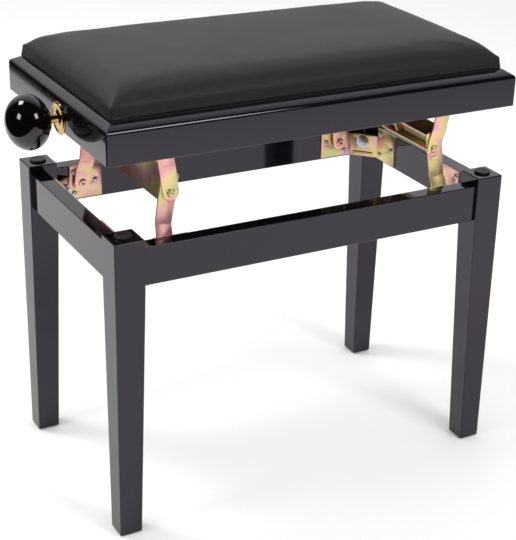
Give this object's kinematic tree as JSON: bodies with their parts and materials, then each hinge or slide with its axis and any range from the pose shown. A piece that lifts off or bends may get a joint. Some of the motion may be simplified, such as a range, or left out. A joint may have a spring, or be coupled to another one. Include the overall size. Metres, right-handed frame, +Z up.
{
  "type": "piano bench",
  "caption": "Height-adjustable piano bench: padded seat on a lacquered leg frame, raised by a side knob turning a spindle between two pivoting lift frames.",
  "frame": {"origin": "on the floor, at the middle of the overall length (knob included) and of the overall depth", "axes": "+X along the seat away from the knob, -Y towards the front, +Z up; the knob is at the -X end"},
  "size_m": [0.624, 0.318, 0.5715],
  "materials": {
    "black_lacquer": "high-gloss black polyester lacquer on wood",
    "black_vinyl": "satin black synthetic leather, fine grain, over foam",
    "plywood": "raw plywood",
    "yellow_zinc_steel": "yellow-passivated zinc plate",
    "blue_zinc_steel": "bright zinc plate",
    "brass_plated_steel": "brass-coloured plate, satin",
    "black_rubber": "matt moulded rubber",
    "black_gloss_plastic": "polished black plastic"
  },
  "bodies": {
    "base": {"leg_front_left": "black_lacquer", "leg_front_right": "black_lacquer", "leg_back_left": "black_lacquer", "leg_back_right": "black_lacquer", "base_rail_front": "black_lacquer", "base_rail_back": "black_lacquer", "base_rail_left": "black_lacquer", "base_rail_right": "black_lacquer", "base_plate_front_left": "yellow_zinc_steel", "base_plate_front_right": "yellow_zinc_steel", "base_plate_back_left": "yellow_zinc_steel", "base_plate_back_right": "yellow_zinc_steel", "leg_bolts": "blue_zinc_steel", "leg_bolt_nuts": "blue_zinc_steel", "base_plate_screws": "blue_zinc_steel", "base_pivot_rivets": "yellow_zinc_steel", "leg_bumpers": "black_rubber", "foot_glides": "black_rubber"},
    "arm_frame_left": {"arm_left_front": "yellow_zinc_steel", "arm_left_back": "yellow_zinc_steel", "arm_left_channel": "yellow_zinc_steel", "spindle_bracket_left": "yellow_zinc_steel", "knee_rivets_left": "yellow_zinc_steel"},
    "links_left": {"link_left_front": "yellow_zinc_steel", "link_left_back": "yellow_zinc_steel"},
    "arm_frame_right": {"arm_right_front": "yellow_zinc_steel", "arm_right_back": "yellow_zinc_steel", "arm_right_channel": "yellow_zinc_steel", "spindle_bracket_right": "yellow_zinc_steel", "knee_rivets_right": "yellow_zinc_steel"},
    "links_right": {"link_right_front": "yellow_zinc_steel", "link_right_back": "yellow_zinc_steel"},
    "nut_left": {"trunnion_nut_left": "yellow_zinc_steel"},
    "nut_right": {"trunnion_nut_right": "yellow_zinc_steel"},
    "seat": {"seat_rail_front": "black_lacquer", "seat_rail_back": "black_lacquer", "seat_rail_left": "black_lacquer", "seat_rail_right": "black_lacquer", "seat_plate_front_left": "yellow_zinc_steel", "seat_plate_front_right": "yellow_zinc_steel", "seat_plate_back_left": "yellow_zinc_steel", "seat_plate_back_right": "yellow_zinc_steel", "seat_plate_screws": "blue_zinc_steel", "seat_pivot_rivets": "yellow_zinc_steel", "cushion_board": "plywood", "board_screws": "blue_zinc_steel", "cushion": "black_vinyl", "spindle_rosette": "brass_plated_steel", "spindle_bearing": "yellow_zinc_steel", "bearing_screws": "blue_zinc_steel"},
    "spindle_and_knob": {"spindle": "brass_plated_steel", "spindle_collar": "blue_zinc_steel", "knob": "black_gloss_plastic"}
  },
  "joints": [
    {"name": "arm_left_pivot", "type": "hinge", "parent": "base", "child": "arm_frame_left", "pos_m": [-0.1665, 0, 0.3603], "axis": [0, 1, 0], "range_deg": [0, 58.4]},
    {"name": "knee_left", "type": "hinge", "parent": "arm_frame_left", "child": "links_left", "pos_m": [-0.15391, 0, 0.4317], "axis": [0, 1, 0], "range_deg": [-116.8, 0]},
    {"name": "seat_pivot_left", "type": "hinge", "parent": "links_left", "child": "seat", "pos_m": [-0.1665, 0, 0.5031], "axis": [0, 1, 0], "range_deg": [0, 58.4]},
    {"name": "arm_right_pivot", "type": "hinge", "parent": "base", "child": "arm_frame_right", "pos_m": [0.2305, 0, 0.3603], "axis": [0, 1, 0], "range_deg": [-58.4, 0]},
    {"name": "knee_right", "type": "hinge", "parent": "arm_frame_right", "child": "links_right", "pos_m": [0.21791, 0, 0.4317], "axis": [0, 1, 0], "range_deg": [0, 116.8]},
    {"name": "nut_left_pivot", "type": "hinge", "parent": "arm_frame_left", "child": "nut_left", "pos_m": [-0.14132, -0.015, 0.5031], "axis": [0, 1, 0], "range_deg": [-58.4, 0]},
    {"name": "nut_right_pivot", "type": "hinge", "parent": "arm_frame_right", "child": "nut_right", "pos_m": [0.20532, -0.015, 0.5031], "axis": [0, 1, 0], "range_deg": [0, 58.4]},
    {"name": "spindle_turn", "type": "hinge", "parent": "seat", "child": "spindle_and_knob", "pos_m": [-0.248, -0.015, 0.5031], "axis": [1, 0, 0], "range_deg": [0, 9869]}
  ],
  "couplings": [
    {"joint": "knee_left", "follows": "arm_left_pivot", "ratio": -2},
    {"joint": "seat_pivot_left", "follows": "arm_left_pivot", "ratio": 1},
    {"joint": "arm_right_pivot", "follows": "arm_left_pivot", "ratio": -1},
    {"joint": "knee_right", "follows": "arm_left_pivot", "ratio": 2},
    {"joint": "nut_left_pivot", "follows": "arm_left_pivot", "ratio": -1},
    {"joint": "nut_right_pivot", "follows": "arm_left_pivot", "ratio": 1},
    {"joint": "spindle_turn", "follows": "arm_left_pivot", "ratio": 168.96}
  ]
}
